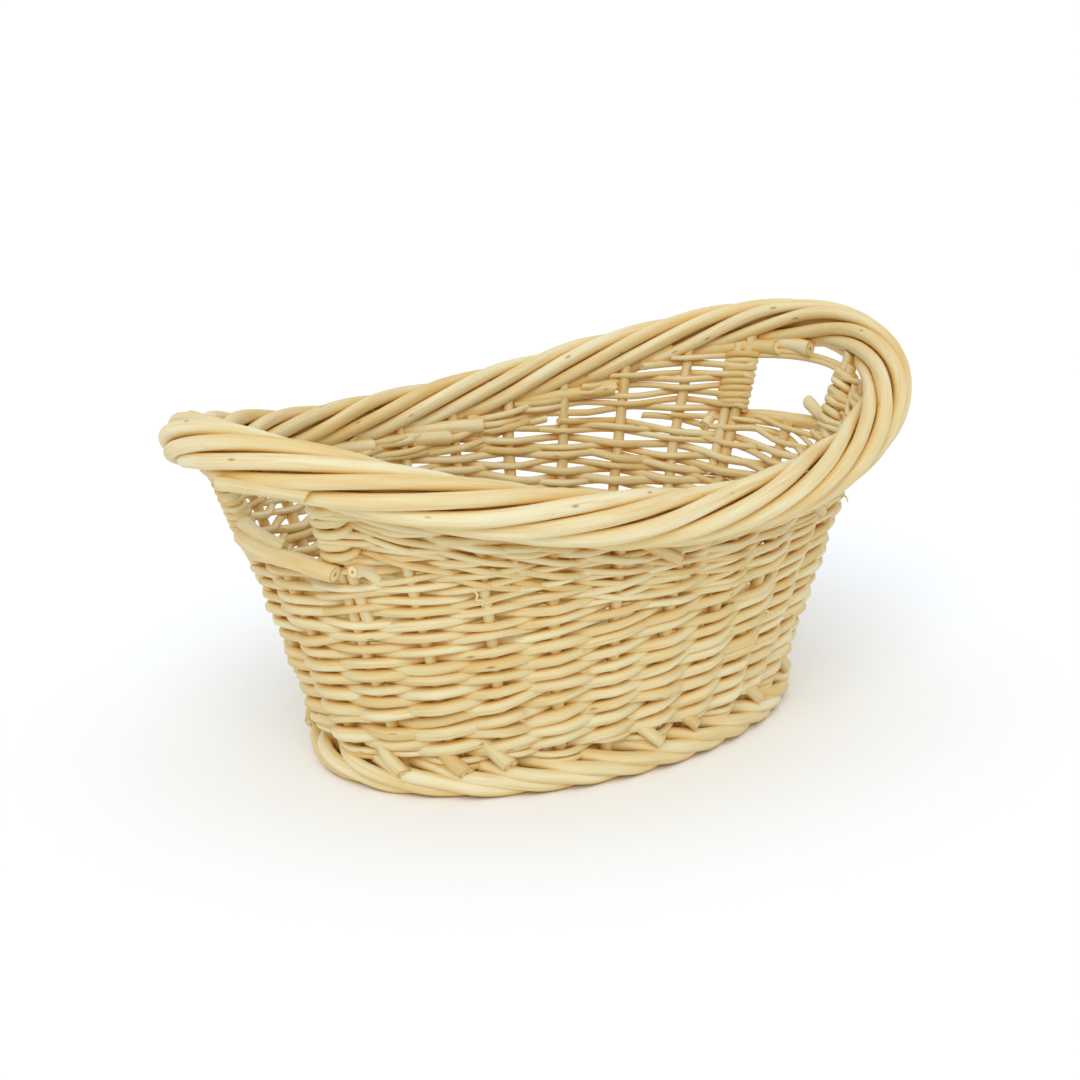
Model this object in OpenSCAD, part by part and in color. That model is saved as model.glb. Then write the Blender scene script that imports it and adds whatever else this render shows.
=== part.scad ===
// Oval willow basket with a rope border and a hand hole at each end.
// Millimetres. X runs along the basket, Y across it and Z up. The origin is on the ground
// under the middle of the foot.
//
// Places on the wall are given as (u, s, out): u counts stakes round the basket from the middle
// of the +X end, s runs from 0 at the ground to 1 at the border, and out is the distance outside
// the stakes' own surface.

/* [Size] */
// Length between the border's centre lines
border_length = 360; // [300:1:440]
// Width between the border's centre lines
border_width = 220; // [180:1:270]
// Height of the border's centre line at the middle of the long sides
side_height = 120; // [100:1:150]
// How much higher the border runs over the hand holes
end_rise = 33; // [20:1:45]
// Length of the foot over the stakes' axes, at the ground
foot_length = 222; // [180:1:270]
// Width of the foot over the stakes' axes, at the ground
foot_width = 142; // [115:1:175]

/* [Rods] */
// Stakes round the basket, an even number
stakes = 28; // [24:2:30]
// Diameter of the stakes
stake_d = 5; // [4:0.1:6]
// Diameter of the rods that the sides are woven with
weaver_d = 4.2; // [3.2:0.1:4.2]
// Diameter of a border rod at its butt
border_rod_d = 7.2; // [6:0.1:7.6]
// Diameter of a border rod at its tip
border_tip_d = 5.6; // [4:0.1:6]
// Diameter of the foot rods
foot_rod_d = 5.8; // [5:0.1:6]
// Diameter of the short sticks that the base is built on
base_stick_d = 6; // [5:0.1:6.4]
// Diameter of the long sticks, which thread the short ones
long_stick_d = 3.6; // [3:0.1:3.6]
// Diameter of the rods that the base is woven with
base_weaver_d = 3.2; // [2.4:0.1:3.6]
// Diameter of the rods that edge the hand holes
rail_d = 6.4; // [5:0.1:7]

/* [Weave] */
// Rows beside each hand hole, up to the border
shoulder_rows = 4; // [3:1:4]
// Rounds of the base
base_rounds = 9; // [6:1:9]
// Wraps round each post of a hand hole
post_wraps = 3; // [2:1:3]
// Diameter of the rods that the posts are wrapped with
wrap_d = 1.6; // [1:0.1:1.6]

/* [Hidden] */

clearance = 0.2;      // between rods that bear on each other
sides = 6;            // flats round a swept rod
thin_sides = 5;       // flats round a thin swept rod
stake_fn = 32;

// Border: a rope of rods, each making one turn in the same number of bays as there are strands.
strands = 6;
strand_r = border_rod_d / 2 / sin(180 / strands) * 1.04;   // from the rope's centre to a strand's
rope_r = strand_r + border_rod_d / 2;
entry_angle = 250;    // where a rod joins the rope, counted from outwards over the top
core_d = 2 * (strand_r - border_rod_d / 2) - 2 * clearance;

// Wall: a ruled surface through the stakes' axes.
border_a = border_length / 2;
border_b = border_width / 2;
rope_stand_off = 6;   // the rope's centre outside the stakes' axes
top_a = border_a - rope_stand_off;
top_b = border_b - rope_stand_off;
foot_a = foot_length / 2;
foot_b = foot_width / 2;
lean = atan2(top_a - foot_a, side_height + end_rise);   // of the wall at the ends
foot_lap = stake_d / 2 / cos(lean) + foot_rod_d / 2;    // of a foot rod over a stake, level

// Heights of the weave. The sides are French randed: every stake has its own rod, which goes in
// front of one stake and behind the next, and climbs half a layer each time.
weave_out = stake_d / 2 + weaver_d / 2 + clearance;
butt_z = foot_rod_d * 2.5;
upsett_z = butt_z + (foot_rod_d - weaver_d) / 2 + weave_out * sin(lean) - 1.4;
layer_step = 2 * (weaver_d + clearance);
first_layer_z = upsett_z + 1.5 * layer_step;
side_layers = floor((side_height - rope_r - first_layer_z) / layer_step);
weave_top_z = first_layer_z + layer_step * (side_layers - 0.5);
rail_z = weave_top_z + weaver_d / 2 + rail_d / 2 + 0.3;
cut_stake_z = rail_z - rail_d / 2 - 1;
first_shoulder_z = rail_z + rail_d / 2 + weaver_d / 2 + 0.4;
shoulder_step = weaver_d + 1.4;
left = stakes / 2;    // the stake in the middle of the -X hand hole; stake 0 is in the +X one

// Base, a flat oval mat that the foot rods hold off the ground.
base_z = foot_rod_d + 6.7;
base_a = foot_a - 2;
base_b = foot_b - 2;
base_start_a = 58;    // the first round
base_start_b = 16;
short_stick_gap = 18;
long_stick_gap = long_stick_d + 0.6;
corner_angle = 36;    // where each round crosses the corner sticks
bundle_b = long_stick_gap + long_stick_d / 2 + clearance;

// ---------------------------------------------------------------- places on the basket

function rim_z(t) = side_height + end_rise * pow(cos(t), 2);

// Arc length round the oval halfway up, so that the stakes stand evenly.
arc_steps = 180;
mid_a = (foot_a + top_a) / 2;
mid_b = (foot_b + top_b) / 2;
function mid_point(i) = [mid_a * cos(i * 360 / arc_steps), mid_b * sin(i * 360 / arc_steps)];
arc = [for (i = 0, run = 0; i <= arc_steps; run = run + norm(mid_point(i + 1) - mid_point(i)), i = i + 1)
    [run, i * 360 / arc_steps]];
girth = arc[arc_steps][0];
function angle_at(u) =
    let (turns = floor(u / stakes))
    360 * turns + lookup((u / stakes - turns) * girth, arc);

function wall_at(u, s, out = 0) =
    let (t = angle_at(u),
         a = foot_a + (top_a - foot_a) * s,
         b = foot_b + (top_b - foot_b) * s,
         along = [-a * sin(t), b * cos(t), -s * end_rise * sin(2 * t)],
         up = [(top_a - foot_a) * cos(t), (top_b - foot_b) * sin(t), rim_z(t)],
         normal = cross(along, up))
    [a * cos(t), b * sin(t), s * rim_z(t)] + out * normal / norm(normal);

// The same place, given by the height of its foot on the stakes' surface above the ground.
function wall_at_z(u, z, out = 0) = wall_at(u, z / rim_z(angle_at(u)), out);

// A place in the rope: r from its centre, turned by angle from outwards over the top.
function rope_at(u, r, angle) =
    let (t = angle_at(u),
         along = [-border_a * sin(t), border_b * cos(t), -end_rise * sin(2 * t)],
         outward = [border_b * cos(t), border_a * sin(t), 0],
         e1 = outward / norm(outward),
         e2 = cross(e1, along) / norm(cross(e1, along)))
    [border_a * cos(t), border_b * sin(t), rim_z(t)] + r * (cos(angle) * e1 + sin(angle) * e2);

// A border rod's path: it starts inside the basket, dips under the rope and makes one turn round it.
function border_path(k) =
    let (inside = rope_r + border_rod_d / 2 + clearance, last = strands - 0.45, steps = 13)
    concat([rope_at(k - 1.35, inside + 11, entry_angle - 46), rope_at(k - 1, inside + 10, entry_angle - 43),
            rope_at(k - 0.5, inside + 1, entry_angle - 20)],
           [for (i = [0:steps])
               let (v = last * i / steps) rope_at(k + v, strand_r, entry_angle + 360 / strands * v)]);

// ---------------------------------------------------------------- rods

function unit(v) = v / norm(v);
function lerp(a, b, k) = a + (b - a) * k;

// A rod swept along its points, from diameter d1 to d2, with a flat side down.
module rod(path, d1, d2, flats = sides, closed = false) {
    n = len(path);
    last = n - 1;
    function before(i) = path[closed ? (i + last) % n : max(i - 1, 0)];
    function after(i) = path[closed ? (i + 1) % n : min(i + 1, last)];
    points = [for (i = [0:last])
        let (tangent = unit(after(i) - before(i)),
             side = unit(cross(tangent, [0, 0, 1])),
             top = cross(side, tangent),
             r = lerp(d1, d2, i / last) / 2)
        for (j = [0:flats - 1])
            path[i] + r * (cos(360 * j / flats) * side + sin(360 * j / flats) * top)];
    function corner(i, j) = (i % n) * flats + j % flats;
    wall = [for (i = [0:closed ? last : last - 1], j = [0:flats - 1], half = [0, 1])
        half == 0 ? [corner(i, j), corner(i, j + 1), corner(i + 1, j + 1)]
                  : [corner(i, j), corner(i + 1, j + 1), corner(i + 1, j)]];
    ends = closed ? [] : [[for (j = [flats - 1:-1:0]) j], [for (j = [0:flats - 1]) last * flats + j]];
    polyhedron(points, concat(wall, ends));
}

// A straight round rod between two points.
module straight(from, to, d) {
    v = to - from;
    translate(from)
        rotate([0, acos(v[2] / norm(v)), atan2(v[1], v[0])])
            cylinder(h = norm(v), d = d, $fn = stake_fn);
}

// ---------------------------------------------------------------- base

function mat_a(k) = lerp(base_start_a, base_a - 2, k);
function mat_b(k) = lerp(base_start_b, base_b - 2, k);

module base_short_sticks() {
    color("burlywood")
        difference() {
            for (i = [-2:2])
                let (x = i * short_stick_gap, half = (base_b - 1) * sqrt(1 - pow(x / base_a, 2)))
                straight([x, -half, base_z], [x, half, base_z], base_stick_d);
            long_stick_bundle(clearance);
        }
}

// The long sticks thread the slits of the short ones.
module long_stick_bundle(grow = 0) {
    for (i = [-1:1])
        straight([-base_a + 1 - grow, i * long_stick_gap, base_z],
                 [base_a - 1 + grow, i * long_stick_gap, base_z], long_stick_d + 2 * grow);
}

module base_long_sticks() {
    color("burlywood") long_stick_bundle();
}

module base_corner_sticks() {
    from_k = 0.12;
    function at(k) = [mat_a(k) * cos(corner_angle), mat_b(k) * sin(corner_angle)];
    color("burlywood")
        for (sx = [-1, 1], sy = [-1, 1])
            straight([sx * at(from_k)[0], sy * at(from_k)[1], base_z],
                     [sx * at(1)[0], sy * at(1)[1], base_z], long_stick_d);
}

// The angles at which a round of half-length a and half-width b crosses the sticks, each with
// the side that it passes on. The long sticks' ends are passed as one bundle.
function mat_crossings(a, b) =
    let (bundle = asin(bundle_b / b),
         right = [[-bundle, 1], [bundle, 1], [corner_angle, -1]],
         back = [for (i = [2:-1:-2]) [acos(i * short_stick_gap / a), i % 2 == 0 ? 1 : -1]],
         half = concat(right, back, [[180 - corner_angle, -1]]))
    concat(half, [for (c = half) [c[0] + 180, c[1]]]);

module base_weave() {
    lift = (base_stick_d + base_weaver_d) / 2 * 1.22;
    color("wheat")
        for (round = [0:base_rounds - 1])
            let (k = round / (base_rounds - 1),
                 side = round % 2 == 0 ? lift : -lift)
            rod([for (c = mat_crossings(mat_a(k), mat_b(k)))
                    [mat_a(k) * cos(c[0]), mat_b(k) * sin(c[0]), base_z + side * c[1]]],
                base_weaver_d, base_weaver_d, thin_sides, closed = true);
}

// ---------------------------------------------------------------- stakes and foot

function is_cut(k) = k == 0 || k == left;

// How far p is from the straight line between two points.
function gap(p, from, to) =
    let (line = to - from, share = (p - from) * line / (line * line))
    norm(p - from - max(0, min(1, share)) * line);

// The border rods that pass over a place on the wall.
function rods_over(u) = [for (k = [ceil(u) - strands:ceil(u) + 1]) border_path(k)];

// How far up a stake goes, as a share of the wall's height, before it would meet a border rod.
function stake_top(u, rods, s = 0.75) =
    let (next = s + 0.002,
         end = wall_at(u, next),
         gaps = [for (path = rods, i = [1:len(path) - 1]) gap(end, path[i - 1], path[i])])
    min(gaps) > (stake_d + border_rod_d) / 2 + clearance ? stake_top(u, rods, next) : s;

stake_foot_z = foot_rod_d + 1;

module stake(u, s) {
    straight(wall_at_z(u, stake_foot_z), wall_at(u, s), stake_d);
}

module stakes() {
    color("wheat") for (k = [0:stakes - 1]) if (!is_cut(k)) stake(k, stake_top(k, rods_over(k)));
}

module cut_stakes() {
    color("wheat") for (k = [0, left]) stake(k, cut_stake_z / rim_z(angle_at(k)));
}

// A second rod stands beside the stake at each side of a hand hole, away from the hole.
post_step = (stake_d + clearance) / (girth / stakes);
post_foot_z = rail_z + rail_d / 2 + 1.5;

module handle_posts() {
    color("wheat")
        for (hole = [0, left], side = [-1, 1])
            let (u = hole + side * (1 + post_step))
            straight(wall_at_z(u, post_foot_z), wall_at(u, stake_top(u, rods_over(u))), stake_d);
}

// A place beside the foot, at height z and level distance out from the stakes' axes.
function foot_at(u, z, out) =
    let (tilted = wall_at_z(u, z, 1) - wall_at_z(u, z))
    wall_at_z(u, z) + out * unit([tilted[0], tilted[1], 0]);

// Each foot rod comes out between two stakes, laps the next one and runs under the edge.
module foot_border() {
    low = foot_rod_d / 2 * sin(60);
    color("burlywood")
        for (k = [0:stakes - 1])
            rod([foot_at(k + 0.4, foot_rod_d * 1.8, -0.5),
                 foot_at(k + 1, foot_rod_d * 1.55, foot_lap + 0.9),
                 foot_at(k + 1.35, foot_rod_d * 0.9, foot_lap + 1.4),
                 foot_at(k + 1.7, low, foot_lap + 0.3),
                 foot_at(k + 2, low, foot_lap - 3),
                 foot_at(k + 2.3, low, -2)],
                foot_rod_d, foot_rod_d);
}

// Cut butts that stand out under the upsett, at every other stake.
module stake_butts() {
    color("burlywood")
        for (k = [1:2:stakes - 1])
            straight(foot_at(k - 0.05, butt_z, foot_lap),
                     foot_at(k + 0.4, butt_z - foot_rod_d / 2, foot_lap + 2), foot_rod_d - 1);
}

// ---------------------------------------------------------------- side weave

// How high a rod of diameter d fits, under the rope and the border rods that enter it.
function under_rope(u, d) = rim_z(angle_at(u)) - rope_r - border_rod_d / 2 - d / 2 - clearance;

// One stroke of a weaver: from behind a stake, across the front of stake k and behind the next,
// climbing by rise from each stake to the next. Behind a stake it ends just short of the next stroke.
module stroke(k, z, rise, d) {
    rod([for (v = [-0.92, -0.2, 0.2, 0.92])
            wall_at_z(k + v, z + rise * v, abs(v) < 0.5 ? weave_out : -weave_out)],
        d, d, thin_sides);
}

module upsett_round(i) {
    color("wheat")
        for (k = [0:stakes - 1])
            if ((k + i) % 2 == 0) stroke(k, upsett_z + i * (weaver_d + clearance), 0, weaver_d);
}

module side_layer(i) {
    color("wheat")
        for (k = [0:stakes - 1])
            stroke(k, first_layer_z + i * layer_step, layer_step / 2, weaver_d);
}

// The rows beside a hand hole start behind or before its doubled posts, and run out under the
// falling border. way is the side of the posts that they are on.
module shoulder_weave(post, way) {
    color("wheat")
        for (row = [0:shoulder_rows - 1])
            let (z = first_shoulder_z + row * shoulder_step,
                 reach = len([for (n = [1:stakes / 4])
                     if (z < under_rope(post + way * (n + 0.4), weaver_d)) n]))
            if (reach > 0)
                rod([for (n = [0:reach], v = [-0.2, n == 0 ? 0.2 + post_step : 0.2])
                        wall_at_z(post + way * (n + v), z, (n + row) % 2 == 0 ? weave_out : -weave_out)],
                    weaver_d, weaver_d, thin_sides);
}

// ---------------------------------------------------------------- hand holes

// The lower edge of a hole: one rod up to the cut stake, and one on from there past the far post.
module handle_rail(hole) {
    lap = stake_d / 2 + rail_d / 2 + clearance;
    color("burlywood") {
        rod([wall_at_z(hole - 1.35, rail_z, -lap - 0.4), wall_at_z(hole - 1, rail_z, -lap),
             wall_at_z(hole - 0.5, rail_z, -lap * 0.6), wall_at_z(hole - 0.1, rail_z, 0)], rail_d, rail_d);
        rod([wall_at_z(hole + 0.12, rail_z, 0), wall_at_z(hole + 0.5, rail_z, lap * 0.6),
             wall_at_z(hole + 1, rail_z, lap), wall_at_z(hole + 1.35, rail_z, lap + 0.4)], rail_d, rail_d);
    }
}

// Rings of thin rod round the doubled posts, in the gaps between the shoulder rows.
module post_wraps(hole) {
    reach = stake_d / 2 + wrap_d / 2 + clearance;
    bevel = reach * tan(22.5);
    bay = girth / stakes;
    color("wheat")
        for (side = [-1, 1], i = [0:post_wraps - 1])
            let (z = first_shoulder_z + (i + 0.5) * shoulder_step,
                 inner = hole + side,
                 outer = hole + side * (1 + post_step),
                 half = [for (c = [[bevel, reach], [reach, bevel], [reach, -bevel], [bevel, -reach]]) c])
            rod(concat([for (c = half) wall_at_z(outer + side * c[0] / bay, z, c[1])],
                       [for (i = [3:-1:0]) wall_at_z(inner - side * half[i][0] / bay, z, half[i][1])]),
                wrap_d, wrap_d, 4, closed = true);
}

// ---------------------------------------------------------------- border

module border_core() {
    points = 2 * stakes;
    color("tan")
        rod([for (i = [0:points - 1]) rope_at(i / 2, 0, 0)], core_d, core_d, thin_sides, closed = true);
}

module border_rods(from, to) {
    color("wheat") for (k = [from:to]) rod(border_path(k), border_rod_d, border_tip_d);
}

// Border rods are grouped by the side of the basket that they start on.
left_first = left - 3;
left_last = left + 2;

// ---------------------------------------------------------------- nodes

base_short_sticks();
base_long_sticks();
base_corner_sticks();
base_weave();
stakes();
cut_stakes();
handle_posts();
stake_butts();
foot_border();
upsett_round(0);  // upsett_round_1
upsett_round(1);  // upsett_round_2
for (i = [1:side_layers])
    side_layer(i - 1);
shoulder_weave(1, 1);  // back_right_shoulder
shoulder_weave(left - 1, -1);  // back_left_shoulder
shoulder_weave(left + 1, 1);  // front_left_shoulder
shoulder_weave(stakes - 1, -1);  // front_right_shoulder
handle_rail(left);  // left_handle_rail
handle_rail(0);  // right_handle_rail
post_wraps(left);  // left_post_wraps
post_wraps(0);  // right_post_wraps
border_core();
border_rods(3, left_first - 1);  // border_rods_back
border_rods(left_first, left_last);  // border_rods_left
border_rods(left_last + 1, stakes - 4);  // border_rods_front
border_rods(stakes - 3, stakes + 2);  // border_rods_right
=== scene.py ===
import math

import bpy
import numpy as np
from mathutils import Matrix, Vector


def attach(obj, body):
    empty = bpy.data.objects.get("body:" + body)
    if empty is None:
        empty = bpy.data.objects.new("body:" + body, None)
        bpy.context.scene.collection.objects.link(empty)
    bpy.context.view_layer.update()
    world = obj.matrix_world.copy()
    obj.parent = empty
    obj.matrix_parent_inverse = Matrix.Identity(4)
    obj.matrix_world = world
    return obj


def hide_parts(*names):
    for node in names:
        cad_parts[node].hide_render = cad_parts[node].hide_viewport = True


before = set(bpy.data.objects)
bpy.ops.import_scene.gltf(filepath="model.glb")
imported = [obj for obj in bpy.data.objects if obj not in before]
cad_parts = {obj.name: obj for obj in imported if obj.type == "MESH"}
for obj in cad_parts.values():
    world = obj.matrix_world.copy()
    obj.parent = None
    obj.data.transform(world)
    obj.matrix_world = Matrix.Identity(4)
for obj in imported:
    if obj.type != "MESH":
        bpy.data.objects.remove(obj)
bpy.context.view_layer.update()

# An oval fruit basket of peeled white willow, woven rod by rod. Lengths are in millimetres until a
# rod is made into a mesh. A place on the wall is (u, z, out): u counts stakes round the basket from
# the middle of the +X end, z is the height, and out is the distance outside the stakes. A bay is the
# gap from one stake to the next, so a difference in u is in bays.

MM = 0.001
RNG = np.random.default_rng(28)

STAKES = 28
LEFT = STAKES // 2             # the stake under the -X hand hole
RIGHT = STAKES                 # the stake under the +X hand hole, which is stake 0 too
BORDER_A = 180.0               # half the length and half the width of the border's centre line
BORDER_B = 110.0
SIDE_HEIGHT = 118.2            # of the border's centre line, in the middle of the long sides
END_RISE = 33.0                # how much higher it runs over the hand holes
STAND_OFF = 6.0                # the border's centre line outside the stakes
TOP_A = BORDER_A - STAND_OFF
TOP_B = BORDER_B - STAND_OFF
FOOT_A = 111.0                 # half the length and half the width of the stakes' oval, at the ground
FOOT_B = 71.0

STAKE_R = 2.6
STRANDS = 7
STRAND_D = 7.0
STRAND_RING = 8.5              # from the rope's centre to its strands' centres
ROPE_R = STRAND_RING + STRAND_D / 2


# ------------------------------------------------------------------ places on the basket

def run_along(points):
    """The distance along a line of points, at each of them."""
    return np.concatenate([[0.0], np.cumsum(np.linalg.norm(np.diff(points, axis=0), axis=1))])


ARC_ANGLES = np.linspace(0.0, 2 * math.pi, 721)
ARC_POINTS = np.stack([(FOOT_A + TOP_A) / 2 * np.cos(ARC_ANGLES),
                       (FOOT_B + TOP_B) / 2 * np.sin(ARC_ANGLES)], 1)
ARC_RUN = run_along(ARC_POINTS)
BAY = ARC_RUN[-1] / STAKES


def angle_at(u):
    """The oval's angle at u. The stakes stand evenly round it, halfway up."""
    turns = np.floor(u / STAKES)
    return 2 * math.pi * turns + np.interp((u / STAKES - turns) * ARC_RUN[-1], ARC_RUN, ARC_ANGLES)


def rim_height(t):
    """The height of the border's centre line at an angle."""
    return SIDE_HEIGHT + END_RISE * np.cos(t) ** 2


def rope_underside(u):
    return rim_height(angle_at(u)) - ROPE_R


def unit(v):
    return v / np.linalg.norm(v, axis=-1, keepdims=True)


def wall(u, z, out=0.0):
    """A place on the wall, square out from the ruled surface that the stakes stand in."""
    u, z, out = np.broadcast_arrays(np.asarray(u, float), np.asarray(z, float), np.asarray(out, float))
    t = angle_at(u)
    rim = rim_height(t)
    s = z / rim
    a = FOOT_A + (TOP_A - FOOT_A) * s
    b = FOOT_B + (TOP_B - FOOT_B) * s
    cos, sin = np.cos(t), np.sin(t)
    along = np.stack([-a * sin, b * cos, -s * END_RISE * np.sin(2 * t)], -1)
    up = np.stack([(TOP_A - FOOT_A) * cos, (TOP_B - FOOT_B) * sin, rim], -1)
    normal = unit(np.cross(along, up))
    return np.stack([a * cos, b * sin, z], -1) + out[..., None] * normal


def beside(u, z, out):
    """A place beside the stakes, level out from them."""
    level = wall(u, z, np.ones_like(np.asarray(u, float))) - wall(u, z)
    level[..., 2] = 0.0
    return wall(u, z) + np.asarray(out, float)[..., None] * unit(level)


def rope(u, r, turn):
    """A place in the border's rope: r from its centre, turned from outwards over the top."""
    t = angle_at(u)
    cos, sin = np.cos(t), np.sin(t)
    zero = np.zeros_like(t)
    along = np.stack([-BORDER_A * sin, BORDER_B * cos, -END_RISE * np.sin(2 * t)], -1)
    outward = unit(np.stack([BORDER_B * cos, BORDER_A * sin, zero], -1))
    over = unit(np.cross(outward, along))
    centre = np.stack([BORDER_A * cos, BORDER_B * sin, rim_height(t)], -1)
    return centre + r[..., None] * (np.cos(turn)[..., None] * outward + np.sin(turn)[..., None] * over)


# ------------------------------------------------------------------ paths and rods

CUT_ROOM = 1.1                 # no ring lies nearer an end than this many times its slanted cut's reach


def wander(n, amount, every):
    """A smooth random drift of n values, with a new direction about every so many."""
    knots = RNG.normal(0.0, amount, max(int(n / every), 1) + 3)
    where = np.linspace(0.0, len(knots) - 1.001, n)
    i = where.astype(int)
    k = where - i
    k = k * k * (3 - 2 * k)
    return knots[i] * (1 - k) + knots[np.minimum(i + 1, len(knots) - 1)] * k


def through(keys, step):
    """A smooth curve through key rows, with about step millimetres between its points round the wall."""
    keys = np.asarray(keys, float)
    padded = np.concatenate([[2 * keys[0] - keys[1]], keys, [2 * keys[-1] - keys[-2]]])
    rows = []
    for i in range(len(keys) - 1):
        p0, p1, p2, p3 = padded[i:i + 4]
        count = max(int(math.ceil(abs(p2[0] - p1[0]) * BAY / step)), 2)
        k = np.linspace(0.0, 1.0, count, endpoint=False)[:, None]
        rows.append(0.5 * (2 * p1 + (p2 - p0) * k + (2 * p0 - 5 * p1 + 4 * p2 - p3) * k ** 2
                           + (3 * p1 - p0 - 3 * p2 + p3) * k ** 3))
    rows.append(keys[-1:])
    return np.concatenate(rows)


def wall_curve(keys, step):
    """A smooth curve on the wall, through keys of (u, z, out)."""
    row = through(keys, step)
    return wall(row[:, 0], row[:, 1], row[:, 2])


def rod(path, thick_butt, thick_tip, lumpy=0.03, slant=0.5, cut_towards=None):
    """One willow rod along a path, tapering from butt to tip, a little uneven, with its own tone.
    Its ends are cut at a slant, towards a given direction or any."""
    run = run_along(path)
    radius = np.interp(run, [0.0, run[-1]], [thick_butt / 2, thick_tip / 2])
    radius = radius * (1 + wander(len(path), lumpy, 6))
    cut_reach = slant * max(thick_butt, thick_tip) / 2
    keep = (run > cut_reach * CUT_ROOM) & (run < run[-1] - cut_reach * CUT_ROOM)
    keep[[0, -1]] = True
    path, run, radius = path[keep], run[keep], radius[keep]
    towards = RNG.normal(size=(2, 3)) if cut_towards is None else np.asarray([cut_towards])
    facing = np.zeros((len(path), 3))
    facing[[0, -1]] = slant * unit(towards)
    return {"path": path, "radius": radius, "run": run, "facing": facing, "tone": RNG.uniform(),
            "ring": False}


def ring_rod(path, thick):
    """A rod that closes on itself."""
    made = rod(path, thick, thick, slant=0.0)
    made["ring"] = True
    return made


# ------------------------------------------------------------------ rods as meshes

UNEVEN = 0.25                  # from the lowest to the highest of a rod's skin
UNEVEN_SCALE = 0.22            # of that unevenness, in cycles a millimetre
SIDES = 10                     # flats round a rod
TONE_SHIFT = 977.0             # the length of grain that the rods' own stretches are taken from

NUMBER = {"data_type": "FLOAT"}
VECTOR = {"data_type": "FLOAT_VECTOR"}
POINT_VECTOR = {"data_type": "FLOAT_VECTOR", "domain": "POINT"}
MULTIPLY = {"operation": "MULTIPLY"}
SUBTRACT = {"operation": "SUBTRACT"}
MULTIPLY_ADD = {"operation": "MULTIPLY_ADD"}


def add_node(tree, kind, settings=None, **links):
    """Adds a node, sets its properties, and gives each named input a value or a socket. An input
    named _0, _1 and so on goes by its place."""
    node = tree.nodes.new(kind)
    for name, value in (settings or {}).items():
        setattr(node, name, value)
    for name, value in links.items():
        key = name.replace("_", " ")
        socket = node.inputs[int(name[1:])] if name[1:].isdigit() else node.inputs[key]
        if isinstance(value, bpy.types.NodeSocket):
            tree.links.new(value, socket)
        else:
            socket.default_value = value
    return node


def rod_sockets(tree):
    """Gives the tree its inputs and its output, and returns the input node."""
    for name, kind, usual in (("Rods", "Geometry", None), ("Sides", "Int", SIDES),
                              ("Uneven", "Float", UNEVEN * MM), ("Willow", "Material", None)):
        socket = tree.interface.new_socket(name, in_out="INPUT", socket_type="NodeSocket" + kind)
        if usual is not None:
            socket.default_value = usual
    tree.interface.new_socket("Rods", in_out="OUTPUT", socket_type="NodeSocketGeometry")
    return tree.nodes.new("NodeGroupInput")


def swept_rods(tree, into, thick, position):
    """Sweeps a round section along every path. It keeps each point's place in the section, and the
    path's direction and centre there."""
    curve = add_node(tree, "GeometryNodeMeshToCurve", Mesh=into.outputs["Rods"])
    ring = add_node(tree, "GeometryNodeCurvePrimitiveCircle", Resolution=into.outputs["Sides"], Radius=1.0)
    section = add_node(tree, "GeometryNodeStoreNamedAttribute", POINT_VECTOR,
                       Geometry=ring.outputs["Curve"], Name="section", Value=position.outputs["Position"])
    tangent = add_node(tree, "GeometryNodeInputTangent")
    with_axis = add_node(tree, "GeometryNodeStoreNamedAttribute", POINT_VECTOR,
                         Geometry=curve.outputs["Curve"], Name="axis", Value=tangent.outputs["Tangent"])
    with_centre = add_node(tree, "GeometryNodeStoreNamedAttribute", POINT_VECTOR,
                           Geometry=with_axis.outputs["Geometry"], Name="centre",
                           Value=position.outputs["Position"])
    return add_node(tree, "GeometryNodeCurveToMesh", Curve=with_centre.outputs["Geometry"],
                    Profile_Curve=section.outputs["Geometry"], Scale=thick.outputs["Attribute"],
                    Fill_Caps=True)


def grain_place(tree, thick):
    """Grain space: millimetres along the rod and across its section, shifted for each rod."""
    across = add_node(tree, "GeometryNodeInputNamedAttribute", VECTOR, Name="section")
    run = add_node(tree, "GeometryNodeInputNamedAttribute", NUMBER, Name="run")
    tone = add_node(tree, "GeometryNodeInputNamedAttribute", NUMBER, Name="tone")
    radius_mm = add_node(tree, "ShaderNodeMath", MULTIPLY, _0=thick.outputs["Attribute"], _1=1 / MM)
    split = add_node(tree, "ShaderNodeSeparateXYZ", _0=across.outputs["Attribute"])
    shift = add_node(tree, "ShaderNodeMath", MULTIPLY, _0=tone.outputs["Attribute"], _1=TONE_SHIFT)
    x = add_node(tree, "ShaderNodeMath", {"operation": "ADD"},
                 _0=run.outputs["Attribute"], _1=shift.outputs["Value"])
    y = add_node(tree, "ShaderNodeMath", MULTIPLY,
                 _0=split.outputs["X"], _1=radius_mm.outputs["Value"])
    z = add_node(tree, "ShaderNodeMath", MULTIPLY_ADD,
                 _0=split.outputs["Y"], _1=radius_mm.outputs["Value"], _2=shift.outputs["Value"])
    return add_node(tree, "ShaderNodeCombineXYZ",
                    X=x.outputs["Value"], Y=y.outputs["Value"], Z=z.outputs["Value"])


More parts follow.
